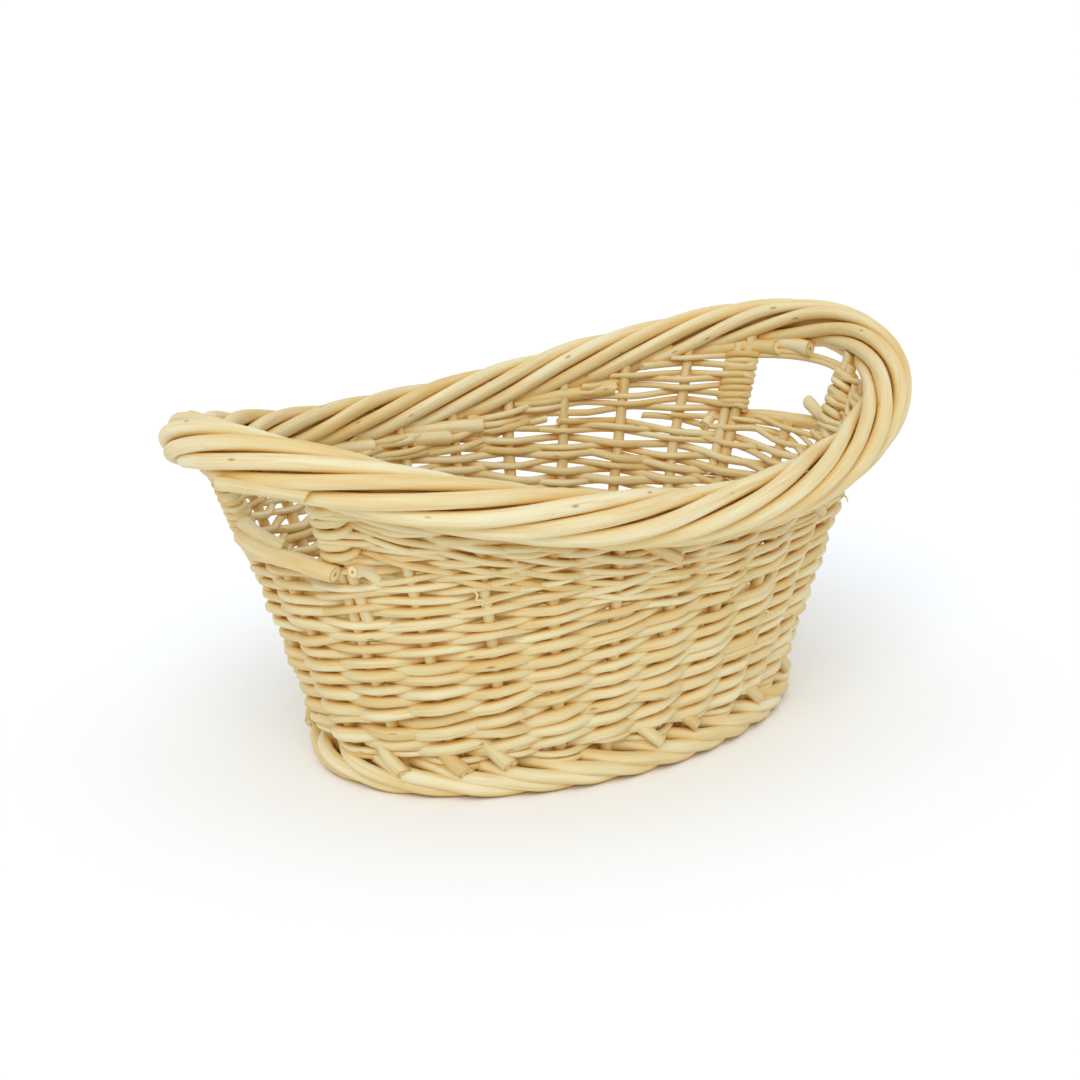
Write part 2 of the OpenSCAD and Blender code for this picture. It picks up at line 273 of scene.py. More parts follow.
def uneven_skin(tree, into, rods, grain):
    """The rod's surface rises and falls a little, as peeled willow does."""
    noise = add_node(tree, "ShaderNodeTexNoise", Vector=grain.outputs["Vector"],
                     Scale=UNEVEN_SCALE, Detail=2.0)
    swing = add_node(tree, "ShaderNodeMath", SUBTRACT, _0=noise.outputs["Fac"], _1=0.5)
    height = add_node(tree, "ShaderNodeMath", MULTIPLY,
                      _0=swing.outputs["Value"], _1=into.outputs["Uneven"])
    normal = add_node(tree, "GeometryNodeInputNormal")
    push = add_node(tree, "ShaderNodeVectorMath", {"operation": "SCALE"},
                    _0=normal.outputs["Normal"], Scale=height.outputs["Value"])
    return add_node(tree, "GeometryNodeSetPosition", Geometry=rods.outputs["Geometry"],
                    Offset=push.outputs["Vector"])


def slanted_ends(tree, rods, position):
    """The ring at each end leans along the rod, which slants the cut."""
    axis, centre, facing = (add_node(tree, "GeometryNodeInputNamedAttribute", VECTOR, Name=name)
                            for name in ("axis", "centre", "facing"))
    radial = add_node(tree, "ShaderNodeVectorMath", SUBTRACT,
                      _0=position.outputs["Position"], _1=centre.outputs["Attribute"])
    towards = add_node(tree, "ShaderNodeVectorMath", {"operation": "DOT_PRODUCT"},
                       _0=radial.outputs["Vector"], _1=facing.outputs["Attribute"])
    back = add_node(tree, "ShaderNodeMath", MULTIPLY, _0=towards.outputs["Value"], _1=-1.0)
    leaning = add_node(tree, "ShaderNodeVectorMath", {"operation": "SCALE"},
                       _0=axis.outputs["Attribute"], Scale=back.outputs["Value"])
    return add_node(tree, "GeometryNodeSetPosition", Geometry=rods.outputs["Geometry"],
                    Offset=leaning.outputs["Vector"])


def marked_cuts(tree, rods):
    """Marks the cut ends, the only faces with more than four corners, and shades the rest smooth."""
    corners = add_node(tree, "GeometryNodeCornersOfFace")
    is_cut = add_node(tree, "FunctionNodeCompare", {"data_type": "INT", "operation": "GREATER_THAN"},
                      _2=corners.outputs["Total"], _3=4)
    with_cuts = add_node(tree, "GeometryNodeStoreNamedAttribute", {"data_type": "FLOAT", "domain": "FACE"},
                         Geometry=rods.outputs["Geometry"], Name="cut", Value=is_cut.outputs["Result"])
    rounded = add_node(tree, "FunctionNodeBooleanMath", {"operation": "NOT"}, _0=is_cut.outputs["Result"])
    return add_node(tree, "GeometryNodeSetShadeSmooth", Geometry=with_cuts.outputs["Geometry"],
                    Shade_Smooth=rounded.outputs["Boolean"])


def willow_rod_tree():
    """Makes round rods of edge paths that hold their own thickness, run, tone and cuts' facing."""
    tree = bpy.data.node_groups.new("willow_rods", "GeometryNodeTree")
    into = rod_sockets(tree)
    thick = add_node(tree, "GeometryNodeInputNamedAttribute", NUMBER, Name="thick")
    position = add_node(tree, "GeometryNodeInputPosition")
    sweep = swept_rods(tree, into, thick, position)
    grain = grain_place(tree, thick)
    with_grain = add_node(tree, "GeometryNodeStoreNamedAttribute", POINT_VECTOR,
                          Geometry=sweep.outputs["Mesh"], Name="grain", Value=grain.outputs["Vector"])
    skin = uneven_skin(tree, into, with_grain, grain)
    slanted = slanted_ends(tree, skin, position)
    smooth = marked_cuts(tree, slanted)
    real = add_node(tree, "GeometryNodeRealizeInstances", Geometry=smooth.outputs["Geometry"])
    finish = add_node(tree, "GeometryNodeSetMaterial", Geometry=real.outputs["Geometry"],
                      Material=into.outputs["Willow"])
    result = tree.nodes.new("NodeGroupOutput")
    tree.links.new(finish.outputs["Geometry"], result.inputs["Rods"])
    return tree


def socket_of(tree, name):
    return next(s.identifier for s in tree.interface.items_tree if s.name == name and s.in_out == "INPUT")


def rod_paths(name, rods):
    """The rods' centre lines as edges, with the values that the tree reads at each point."""
    points = np.concatenate([r["path"] for r in rods]) * MM
    counts = [len(r["path"]) for r in rods]
    starts = np.concatenate([[0], np.cumsum(counts)])
    edges = [(i, i + 1) for a, b in zip(starts[:-1], starts[1:]) for i in range(a, b - 1)]
    edges += [(b - 1, a) for a, b, r in zip(starts[:-1], starts[1:], rods) if r["ring"]]
    mesh = bpy.data.meshes.new(name)
    mesh.from_pydata(points.tolist(), edges, [])
    values = {"thick": np.concatenate([r["radius"] for r in rods]) * MM,
              "run": np.concatenate([r["run"] for r in rods]),
              "tone": np.repeat([r["tone"] for r in rods], counts)}
    for key, data in values.items():
        mesh.attributes.new(key, "FLOAT", "POINT").data.foreach_set("value", data.astype(np.float32))
    facing = np.concatenate([r["facing"] for r in rods]).astype(np.float32)
    mesh.attributes.new("facing", "FLOAT_VECTOR", "POINT").data.foreach_set("vector", facing.ravel())
    return bpy.data.objects.new(name, mesh)


def rods_piece(name, rods, material, sides=SIDES, uneven=UNEVEN):
    """One mesh piece from a list of rods."""
    paths = rod_paths(name + "_paths", rods)
    bpy.context.scene.collection.objects.link(paths)
    modifier = paths.modifiers.new("willow_rods", "NODES")
    modifier.node_group = ROD_TREE
    modifier[socket_of(ROD_TREE, "Sides")] = sides
    modifier[socket_of(ROD_TREE, "Uneven")] = uneven * MM
    modifier[socket_of(ROD_TREE, "Willow")] = material
    bpy.context.view_layer.update()
    evaluated = paths.evaluated_get(bpy.context.evaluated_depsgraph_get())
    made = bpy.data.meshes.new_from_object(evaluated)
    bpy.data.objects.remove(paths)
    made.name = name
    piece = bpy.data.objects.new(name, made)
    bpy.context.scene.collection.objects.link(piece)
    return piece


def place(piece, slot, *nodes):
    """Fixes a piece to the basket, in place of the CAD nodes it stands for. The slot argument is not used.
    """
    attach(piece, "root")
    if nodes:
        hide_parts(*nodes)


# ------------------------------------------------------------------ willow

# Each pattern's scale is in cycles a millimetre, along the rod and twice across it.
PATCH_SCALE = (0.017, 0.16, 0.16)
LINE_SCALE = (0.03, 0.85, 0.85)
SCAR_SCALE = (0.05, 0.15, 0.15)
TONE_SPREAD = 0.18             # how much more one rod may be yellowed than another
CREVICE_SHADE_REACH = 7.0            # how near another rod has to be for painted shade on this one
CREVICE_SHADE_SAMPLES = 6
COLOUR = {"data_type": "RGBA"}


def linear(hex_colour):
    """A hex sRGB colour as linear RGBA."""
    parts = [int(hex_colour[i:i + 2], 16) / 255 for i in (1, 3, 5)]
    return tuple(c / 12.92 if c <= 0.04045 else ((c + 0.055) / 1.055) ** 2.4 for c in parts) + (1.0,)


def yellow_patches(tree, grain, tone, pale, honey):
    """Long yellow patches, about 60 mm along the rod and 6 mm across it."""
    space = add_node(tree, "ShaderNodeMapping", Vector=grain.outputs["Vector"], Scale=PATCH_SCALE)
    patches = add_node(tree, "ShaderNodeTexNoise", Vector=space.outputs["Vector"], Scale=1.0, Detail=3.0)
    toned = add_node(tree, "ShaderNodeMath", MULTIPLY_ADD,
                     _0=tone.outputs["Fac"], _1=TONE_SPREAD, _2=patches.outputs["Fac"])
    share = add_node(tree, "ShaderNodeMapRange", Value=toned.outputs["Value"],
                     From_Min=0.42, From_Max=0.88)
    return add_node(tree, "ShaderNodeMix", COLOUR, Factor=share.outputs["Result"],
                    _6=linear(pale), _7=linear(honey))


def grain_noise(tree, grain):
    """Grain lines about 30 mm long and 1.2 mm apart. That is over twice as coarse as willow's own
    grain, which is too fine to show."""
    space = add_node(tree, "ShaderNodeMapping", Vector=grain.outputs["Vector"], Scale=LINE_SCALE)
    return add_node(tree, "ShaderNodeTexNoise", Vector=space.outputs["Vector"], Scale=1.0, Detail=4.0,
                    Roughness=0.65)


def grain_lines(tree, lines, skin, honey):
    """Honey lines along the grain."""
    share = add_node(tree, "ShaderNodeMapRange", Value=lines.outputs["Fac"], From_Min=0.5, From_Max=0.74,
                     To_Max=0.9)
    return add_node(tree, "ShaderNodeMix", COLOUR, Factor=share.outputs["Result"],
                    _6=skin.outputs[2], _7=linear(honey))


def bud_scars(tree, grain, skin, stain):
    """Bud scars: brown marks up to 5 mm along the rod and 1.6 mm across it, fewer than one in 20 mm
    of rod."""
    space = add_node(tree, "ShaderNodeMapping", Vector=grain.outputs["Vector"], Scale=SCAR_SCALE)
    scars = add_node(tree, "ShaderNodeTexVoronoi", Vector=space.outputs["Vector"], Scale=1.0)
    share = add_node(tree, "ShaderNodeMapRange", Value=scars.outputs["Distance"], From_Min=0.03,
                     From_Max=0.12, To_Min=0.75, To_Max=0.0)
    return add_node(tree, "ShaderNodeMix", COLOUR, Factor=share.outputs["Result"],
                    _6=skin.outputs[2], _7=linear(stain))


def cut_wood(tree, cut, section, skin, pale, honey, stain):
    """A cut end: paler wood with a brown pith, about 1 mm across on a 7 mm rod, and a darker ring
    of skin."""
    reach = add_node(tree, "ShaderNodeVectorMath", {"operation": "LENGTH"}, _0=section.outputs["Vector"])
    rings = add_node(tree, "ShaderNodeValToRGB", Fac=reach.outputs["Value"])
    pith, wood = rings.color_ramp.elements
    pith.position = 0.08
    pith.color = linear(stain)
    wood.position = 0.2
    wood.color = linear(honey)
    for at, colour in ((0.5, pale), (0.9, honey), (1.0, stain)):
        rings.color_ramp.elements.new(at).color = linear(colour)
    return add_node(tree, "ShaderNodeMix", COLOUR, Factor=cut.outputs["Fac"],
                    _6=skin.outputs[2], _7=rings.outputs["Color"])


def painted_crevice_shade(tree, skin, crevice_shade_colour):
    """Painted shade: a warm crevice colour mixed in where rods lie close against each other, standing in
    for light bounced between them.
    """
    # Painted shade: ambient occlusion decides where the warm crevice colour goes.
    crevice = add_node(tree, "ShaderNodeAmbientOcclusion", {"samples": CREVICE_SHADE_SAMPLES},
                       Distance=CREVICE_SHADE_REACH * MM)
    share = add_node(tree, "ShaderNodeMapRange", Value=crevice.outputs["AO"], From_Min=0.15,
                     From_Max=0.75, To_Min=0.9, To_Max=0.0)
    return add_node(tree, "ShaderNodeMix", COLOUR, Factor=share.outputs["Result"],
                    _6=skin.outputs[2], _7=linear(crevice_shade_colour))


def peeled_willow(name, pale, honey, stain, crevice_shade_colour):
    """Peeled white willow, boiled or stripped fresh: a smooth satin skin, pale cream that yellows
    in long patches, fine grain along the rod, brown bud scars, and a ringed pith in a cut end. It
    has painted shade, a warm colour mixed in where rods lie against each other."""
    material = bpy.data.materials.new(name)
    material.use_nodes = True
    tree = material.node_tree
    grain, tone, cut, section = (add_node(tree, "ShaderNodeAttribute", {"attribute_name": kept})
                                 for kept in ("grain", "tone", "cut", "section"))
    lines = grain_noise(tree, grain)
    skin = yellow_patches(tree, grain, tone, pale, honey)
    lined = grain_lines(tree, lines, skin, honey)
    scarred = bud_scars(tree, grain, lined, stain)
    ended = cut_wood(tree, cut, section, scarred, pale, honey, stain)
    # Painted shade: a warm colour in the crevices, in place of light bounced between the rods.
    crevice_shaded = painted_crevice_shade(tree, ended, crevice_shade_colour)
    rough = add_node(tree, "ShaderNodeMapRange", Value=lines.outputs["Fac"], To_Min=0.42, To_Max=0.66)
    bump = add_node(tree, "ShaderNodeBump", Height=lines.outputs["Fac"], Strength=0.35, Distance=0.3 * MM)
    shader = tree.nodes["Principled BSDF"]
    tree.links.new(crevice_shaded.outputs[2], shader.inputs["Base Color"])
    tree.links.new(rough.outputs["Result"], shader.inputs["Roughness"])
    tree.links.new(bump.outputs["Normal"], shader.inputs["Normal"])
    shader.inputs["IOR"].default_value = 1.5
    shader.inputs["Specular IOR Level"].default_value = 0.4
    return material


ROD_TREE = willow_rod_tree()
# Each willow's colours: its skin, the skin's yellow, its bud scars and pith, and the painted shade in its
# crevices.
WEAVING = peeled_willow("peeled_willow_weavers", "#DFD5AC", "#CEAE66", "#85572A", "#EDBC5B")
STAKING = peeled_willow("peeled_willow_stakes", "#D9CDA1", "#C8A55E", "#805226", "#E4B054")
BORDERING = peeled_willow("peeled_willow_border", "#E1D7B0", "#D2B36C", "#8B5C2E", "#EEC060")


# ------------------------------------------------------------------ base

BASE_Z = 12.5
BASE_ROUNDS = 15
BASE_WEAVER_D = 3.4
BASE_LIFT = 3.9                # of a round over a stick
SHORT_STICK_X = np.arange(-2, 3) * 18.0
SHORT_STICKS_A = 109.0         # half the length and half the width of the oval that they end on
SHORT_STICKS_B = 68.0
LONG_STICK_Y = np.arange(-1, 2) * 4.4
LONG_STICK_REACH = 106.0
BUNDLE_B = 6.6                 # half the width of the long sticks together, with room round them
CORNER = math.radians(36.0)
CORNER_FROM = (62.0, 21.0)     # half the length and half the width of the ovals that a corner
CORNER_TO = (107.0, 68.5)      # stick runs between
MAT_A = (50.0, 110.5)          # half the length of the first and the last round, and half the width
MAT_B = (9.6, 70.5)


def straight(start, end, thick_butt, thick_tip, bend):
    """A nearly straight rod between two points, sprung by up to bend."""
    start, end = np.asarray(start, float), np.asarray(end, float)
    n = max(int(np.linalg.norm(end - start) / 4), 3)
    k = np.linspace(0.0, 1.0, n)[:, None]
    path = start * (1 - k) + end * k
    drift = np.stack([wander(n, bend / 2, 8) for _ in range(3)], 1)
    return rod(path + drift * np.sin(math.pi * k), thick_butt, thick_tip)


def short_stick(x):
    reach = SHORT_STICKS_B * math.sqrt(1 - (x / SHORT_STICKS_A) ** 2)
    return straight((x, -reach, BASE_Z), (x, reach, BASE_Z), 6.2, 5.6, 0.4)


def long_stick(y):
    return straight((-LONG_STICK_REACH, y, BASE_Z), (LONG_STICK_REACH, y, BASE_Z), 3.8, 3.6, 0.3)


def corner_stick(way_x, way_y):
    """A stick that fans out to one corner of the base."""
    start, end = ((a * math.cos(CORNER) * way_x, b * math.sin(CORNER) * way_y, BASE_Z)
                  for a, b in (CORNER_FROM, CORNER_TO))
    return straight(start, end, 4.0, 3.6, 0.3)


def base_crossings(a, b):
    """Angles at which a round meets the sticks, and how far through its wave it is at each."""
    bundle = math.asin(BUNDLE_B / b)
    first = [-bundle, bundle, CORNER] + [math.acos(x / a) for x in SHORT_STICK_X[::-1]]
    angles = first + [math.pi - CORNER]
    waves = [0, 0] + [i + 1 for i in range(len(angles) - 2)]
    half = waves[-1] + 1
    angles = angles + [t + math.pi for t in angles] + [2 * math.pi - bundle]
    waves = waves + [w + half for w in waves] + [2 * half]
    return angles, waves


def base_round(i):
    """A rod woven over and under the sticks, once round."""
    k = i / (BASE_ROUNDS - 1)
    a = MAT_A[0] + (MAT_A[1] - MAT_A[0]) * k
    b = MAT_B[0] + (MAT_B[1] - MAT_B[0]) * k
    angles, waves = base_crossings(a, b)
    n = int(math.pi * (a + b) / 4)
    t = np.linspace(0.0, 2 * math.pi, n, endpoint=False)
    lift = BASE_LIFT * np.cos(math.pi * (np.interp(t, angles, waves) + i))
    path = np.stack([a * np.cos(t), b * np.sin(t), BASE_Z + lift + wander(n, 0.2, 9)], 1)
    return ring_rod(path, BASE_WEAVER_D)


def make_base():
    short = [short_stick(x) for x in SHORT_STICK_X]
    place(rods_piece("base_short_sticks_willow", short, STAKING, 12), "base_willow", "base_short_sticks")
    long_ones = [long_stick(y) for y in LONG_STICK_Y]
    place(rods_piece("base_long_sticks_willow", long_ones, STAKING), "base_willow", "base_long_sticks")
    corners = [corner_stick(x, y) for x in (-1, 1) for y in (-1, 1)]
    place(rods_piece("base_corner_sticks_willow", corners, STAKING), "base_willow", "base_corner_sticks")
    rounds = [base_round(i) for i in range(BASE_ROUNDS)]
    place(rods_piece("base_weavers_willow", rounds, WEAVING, 8), "base_willow", "base_weave")


# ------------------------------------------------------------------ stakes and foot

STAKE_LOW_Z = 8.0
STAKE_TOP_DROP = 5.0           # a stake ends this far under the border's centre line
CUT_STAKE_TOP_Z = 107.0
CUT_STAKES = (0, LEFT)         # under the hand holes
FOOT_ROD_D = 6.4
BUTT_STAKES = (0, 2, 4, 6, 8, 10, 12, 15, 16, 17, 20, 21, 23, 25)


def stake(u, low, high, thick):
    z = np.linspace(low, high, max(int((high - low) / 4), 3))
    sway = wander(len(z), 0.012, 8)
    path = wall(np.full(len(z), float(u)) + sway, z, wander(len(z), 0.25, 8))
    return rod(path, thick, thick * 0.92)


def make_stakes():
    whole = [stake(k, STAKE_LOW_Z, rim_height(angle_at(float(k))) - STAKE_TOP_DROP, RNG.uniform(5.0, 5.8))
             for k in range(STAKES) if k not in CUT_STAKES]
    place(rods_piece("side_stakes_willow", whole, STAKING), "stake_willow", "stakes")
    short = [stake(k, STAKE_LOW_Z, CUT_STAKE_TOP_Z, 5.4) for k in CUT_STAKES]
    place(rods_piece("cut_stakes_willow", short, STAKING), "stake_willow", "cut_stakes")


def foot_rod(k):
    """A rod that comes out past its stake, laps down over the next ones and tucks in under the foot."""
    low = FOOT_ROD_D / 2 + 0.1
    keys = [(k - 0.1, 14.6, -4.5), (k + 0.5, 12.4, 0.0), (k + 1.1, 10.0, 6.4), (k + 1.8, 7.2, 8.3),
            (k + 2.5, low + 0.8, 7.9), (k + 3.1, low, 5.0), (k + 3.7, low + 0.3, -0.6),
            (k + 4.1, low + 1, -4)]
    row = through(keys, 3.0)
    path = beside(row[:, 0], row[:, 1], row[:, 2] + wander(len(row), 0.3, 8))
    return rod(path, FOOT_ROD_D * RNG.uniform(0.94, 1.06), FOOT_ROD_D * 0.9, 0.02)


def stake_butt(k):
    """The butt of a rod pushed down beside a stake, cut off obliquely in front of the foot."""
    slip = RNG.uniform(-0.1, 0.1)
    far = RNG.uniform(0.3, 1.0)
    keys = [(k - 0.3 + slip, 22.5, 0.5), (k - 0.08 + slip, 18.8, 6.0),
            (k + 0.28 * far - 0.08 + slip, 18.8 - 5.2 * far, 6.0 + 2.8 * far)]
    thick = RNG.uniform(5.6, 6.8)
    path = wall_curve(keys, 1.5)
    outward = path[-1] * (1, 1, 0)
    return rod(path, thick, thick, 0.015, 0.8, outward)


def make_foot():
    foot_rods = [foot_rod(k) for k in range(STAKES)]
    place(rods_piece("foot_border_willow", foot_rods, BORDERING, 14), "stake_willow", "foot_border")
    butts = [stake_butt(k) for k in range(STAKES)]
    place(rods_piece("stake_butts_willow", [butts[k] for k in BUTT_STAKES], STAKING, 12),
          "stake_willow", "stake_butts")


# ------------------------------------------------------------------ side weave

UPSETT_RODS = 4
UPSETT_D = 3.2
UPSETT_Z = 13.4                # of the lowest rod
UPSETT_STEP = 2.9
UPSETT_LAP = STAKE_R + 1.7     # from a stake's middle to the middle of a rod that crosses it
WEAVE_START_Z = 22.5
WEAVE_TOP_Z = 106.0
RISE_LOW = 3.4                 # climb from one stake to the next, at the butt and at the tip
RISE_HIGH = 2.8
WEAVER_BAYS = 2 * (WEAVE_TOP_Z - WEAVE_START_Z) / (RISE_LOW + RISE_HIGH)
WEAVER_LEAD = 0.75             # a weaver's butt lies this far before its own stake
WEAVER_BUTT_D = 5.7
WEAVER_TIP_D = 2.9
STAKE_PRESSED = 0.6            # what is left of a stake's radius where a weaver presses into it
WEAVER_PRESSED = 0.45          # what is left of half a weaver's thickness there, as a share of the whole
SWAY_LIFT = 0.12               # how much higher a weaver is for each millimetre it stands out
STRAIGHTNESS = 0.75            # how much of the way to and fro is a zigzag, the rest being a wave
BEND_SHARPNESS = 0.985         # below 1, which would be a kink
POINTS_A_BAY = 8


def upsett_ring(i):
    """One thin rod of the upsett. Rods run in pairs, and the pairs swap sides at every stake."""
    n = STAKES * POINTS_A_BAY
    u = np.linspace(0.0, STAKES, n, endpoint=False)
    z = UPSETT_Z + UPSETT_STEP * i + wander(n, 0.25, 10)
    out = UPSETT_LAP * np.cos(math.pi * (u + i // 2)) + wander(n, 0.2, 10)
    # The last points ease back to the first one's height.
    ease = np.array([0.2, 0.4, 0.6, 0.8])
    z[-4:] = z[-4:] * ease[::-1] + z[0] * ease
    return ring_rod(beside(u, z, out), UPSETT_D)


def to_and_fro(v):
    """1 in front of a stake and -1 behind the next, and nearly straight between them."""
    wave = np.cos(math.pi * v)
    zigzag = STRAIGHTNESS * np.arcsin(BEND_SHARPNESS * wave) / math.asin(BEND_SHARPNESS)
    return (1 - STRAIGHTNESS) * wave + zigzag


def side_weaver(i):
    """A French randed rod: in front of its own stake, behind the next, climbing all the way."""
    grown = RNG.uniform(0.86, 1.12)
    v = np.arange(-WEAVER_LEAD, WEAVER_BAYS + RNG.uniform(-0.3, 0.8), 1 / POINTS_A_BAY)
    n = len(v)
    k = np.clip(v / WEAVER_BAYS, 0.0, 1.0)
    climbed = RISE_LOW * v - (RISE_LOW - RISE_HIGH) * v * k / 2
    z = np.minimum(WEAVE_START_Z + climbed + wander(n, 0.9, 9), WEAVE_TOP_Z + 1.5)
    thick = (WEAVER_BUTT_D + (WEAVER_TIP_D - WEAVER_BUTT_D) * k) * grown
    sway = (STAKE_R * STAKE_PRESSED + thick * WEAVER_PRESSED) * to_and_fro(v) + wander(n, 0.4, 7)
    return rod(beside(i + v, z + SWAY_LIFT * sway, sway), thick[0], thick[-1])


def make_sides():
    rings = [upsett_ring(i) for i in range(UPSETT_RODS)]
    place(rods_piece("upsett_weavers_willow", rings, WEAVING, 8), "weaving_willow",
          "upsett_round_1", "upsett_round_2")
    layers = [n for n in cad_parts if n.startswith("side_layer_")]
    weavers = [side_weaver(i) for i in range(STAKES)]
    place(rods_piece("side_weavers_willow", weavers, WEAVING), "weaving_willow", *layers)


# ------------------------------------------------------------------ hand holes

POST_STEP = 0.19               # from a post to the one beside it, in bays
POST_LOW_Z = 80.0
POST_D = 5.2
WRAPS = {"left": ((8, 3.5), (5, 4.3)), "right": ((6, 4.0), (8, 3.6))}   # turns and thickness, by post
WRAP_LAP = STAKE_R + 1.1
POINTS_A_WRAP = 14
RAIL_Z = 109.5
SHORT_RAILS = {"left": (0.2, 111.0), "right": (-0.3, 118.0)}   # where each ends, in bays and height
LINER_DROPS = (1.6, 3.4)       # under the border, at the middle of the hole
LINER_REACH = 1.3              # in bays each way
SHOULDER_LOW_Z = RAIL_Z - 1.5
SHOULDER_D = 3.2
SHOULDER_LAP = STAKE_R + 0.9
SHOULDER_BAYS = 6.2            # that a row spans at least, where the border leaves it room
# Each panel's nearest post, the way that it runs from there, and its rows.
SHOULDERS = {"back_right": (RIGHT + 1, 1, 8), "back_left": (LEFT - 1, -1, 8),
             "front_left": (LEFT + 1, 1, 10), "front_right": (RIGHT - 1, -1, 10)}


def shoulder_z(post, n, share):
    """The height of a row n bays from the post. Rows fan out a little towards the posts."""
    height = rope_underside(post) - 1.0 - SHOULDER_LOW_Z
    return SHOULDER_LOW_Z + height * share * (1 - 0.05 * n)


def shoulder_leg(post, way, share, side):
    """One row, from the posts until it runs out under the falling border."""
    n = np.arange(0.0, SHOULDER_BAYS + RNG.uniform(0.0, 0.6), 1 / POINTS_A_BAY)
    z = shoulder_z(post, n, share)
    past = np.maximum(n - POST_STEP, 0.0) / (1 - POST_STEP)
    keep = z < rope_underside(post + way * n) + 4.0
    leg = np.stack([post + way * n, z + wander(len(n), 0.5, 9), side * SHOULDER_LAP * to_and_fro(past)], 1)
    return leg[keep]


def shoulder_turn(post, way, row, rows):
    """A thin rod that comes in along one row, turns round the doubled posts and goes back."""
    side = 1 if (row // 2) % 2 == 0 else -1
    low, high = (row + 0.5) / rows, (row + 1.5) / rows
    turn = np.linspace(0.0, math.pi, 8)
    bend_z = np.linspace(shoulder_z(post, 0.0, low), shoulder_z(post, 0.0, high), 8)
    bend = np.stack([post - way * SHOULDER_LAP / BAY * np.sin(turn), bend_z,
                     side * SHOULDER_LAP * np.cos(turn)], 1)
    path = np.concatenate([shoulder_leg(post, way, low, side)[::-1], bend,
                           shoulder_leg(post, way, high, -side)])
    return rod(beside(path[:, 0], path[:, 1], path[:, 2]), SHOULDER_D * RNG.uniform(1.0, 1.2),
               SHOULDER_D * 0.85)


def post_wrap(hole, side, turns, thick):
    """A thin rod wound up the pair of posts at one side of a hand hole."""
    n = turns * POINTS_A_WRAP
    angle = np.linspace(0.0, 2 * math.pi * turns, n)
    u = hole + side * (1 + POST_STEP / 2 - (POST_STEP / 2 + WRAP_LAP / BAY) * np.cos(angle))
    top = rope_underside(hole + side * 1.0) - 1.0
    z = np.linspace(RAIL_Z + 1.0, top, n)
    return rod(wall(u, z, WRAP_LAP * np.sin(angle)), thick, thick * 0.9)


def hand_hole_post(hole, side):
    """A second rod pushed in beside the stake at one side of a hand hole."""
    top = rope_underside(hole + side * 1.2) + 4.0
    return stake(hole + side * (1 + POST_STEP), POST_LOW_Z, top, POST_D)


def rail_long(hole):
    """A stake bent over at one post and run along the foot of the hand hole to a cut end."""
    keys = [(hole - 1.02, 96.0, 0.5), (hole - 1.0, 104.5, 1.5), (hole - 0.82, 109.6, 3.6),
            (hole - 0.4, 109.8, 4.6), (hole, 109.2, 5.2), (hole + 0.5, 108.8, 5.4),
            (hole + 0.85, 108.0, 7.0), (hole + 1.08, 107.2, 7.8)]
    return rod(wall_curve(keys, 2.5), 6.6, 7.4, 0.02)


def rail_short(hole, end, end_z):
    """The shorter stake beside it, bent over above the rail and cut short near the hole's middle."""
    keys = [(hole - 1.2, 105.0, -0.5), (hole - 1.05, 112.0, -1.0), (hole - 0.8, 114.0, 0.5),
            (hole + (end - 0.8) / 2, (114.0 + end_z) / 2 - 0.6, 1.0), (hole + end, end_z, 1.6)]
    return rod(wall_curve(keys, 2.5), 6.0, 6.2, 0.02)


def rail_stub(hole):
    """The stake at the other post, bent over outwards and cut short."""
    keys = [(hole + 1.5, 101.0, -1.0), (hole + 1.42, 106.4, 2.4), (hole + 1.34, 109.6, 8.6)]
    path = wall_curve(keys, 1.5)
    outward = path[-1] * (1, 1, 0)
    return rod(path, 5.6, 5.6, 0.02, 0.5, outward)


def hole_liner(hole, drop):
    """A thin rod laid under the border across the hand hole."""
    n = 40
    k = np.linspace(-1.0, 1.0, n)
    u = hole + k * LINER_REACH
    z = rope_underside(u) + 1.0 - drop * (1 - 0.35 * k ** 2)
    return rod(wall(u, z, 1.5 + wander(n, 0.4, 10)), 3.4, 2.6)


def make_hand_holes():
    for name, hole in (("left", LEFT), ("right", RIGHT)):
        rails = [rail_long(hole), rail_short(hole, *SHORT_RAILS[name]), rail_stub(hole)]
        place(rods_piece(name + "_rail_willow", rails, BORDERING, 14), "stake_willow",
              name + "_handle_rail")
        wraps = [post_wrap(hole, side, *how) for side, how in zip((-1, 1), WRAPS[name])]
        place(rods_piece(name + "_post_wraps_willow", wraps, WEAVING, 8), "weaving_willow",
              name + "_post_wraps")
        liners = [hole_liner(hole, drop) for drop in LINER_DROPS]
        place(rods_piece(name + "_hole_liners_willow", liners, WEAVING, 8), "weaving_willow")
    posts = [hand_hole_post(hole, side) for hole in (LEFT, RIGHT) for side in (-1, 1)]
    place(rods_piece("hand_hole_posts_willow", posts, STAKING), "stake_willow", "handle_posts")


def make_shoulders():
    for name, (post, way, rows) in SHOULDERS.items():
        turns = [shoulder_turn(post, way, row, rows) for row in range(0, rows, 2)]
        place(rods_piece(name + "_shoulder_willow", turns, WEAVING, 8), "weaving_willow",
              name + "_shoulder")


# ------------------------------------------------------------------ border

ENTRY_ANGLE = 242.0            # where a rod joins the rope, in degrees from outwards over the top
JOINED = 0.2                   # bays past its start where a rod has joined the rope
# The rods whose butts show inside: how many bays before its turn each starts, and how many
# millimetres off the other strands. The other butts are hidden inside the rope.
SHOWN_BUTTS = {1: (1.1, 6.5), 2: (1.4, 6.5), 5: (1.6, 9.0), 7: (1.4, 8.5), 8: (1.7, 10.0), 9: (1.3, 5.5),
               12: (1.3, 6.5), 16: (1.2, 6.5), 21: (1.3, 6.5)}
HIDDEN_BUTT = (0.7, -3.0)
CORE_D = 7.4
CORE_POINTS = 240


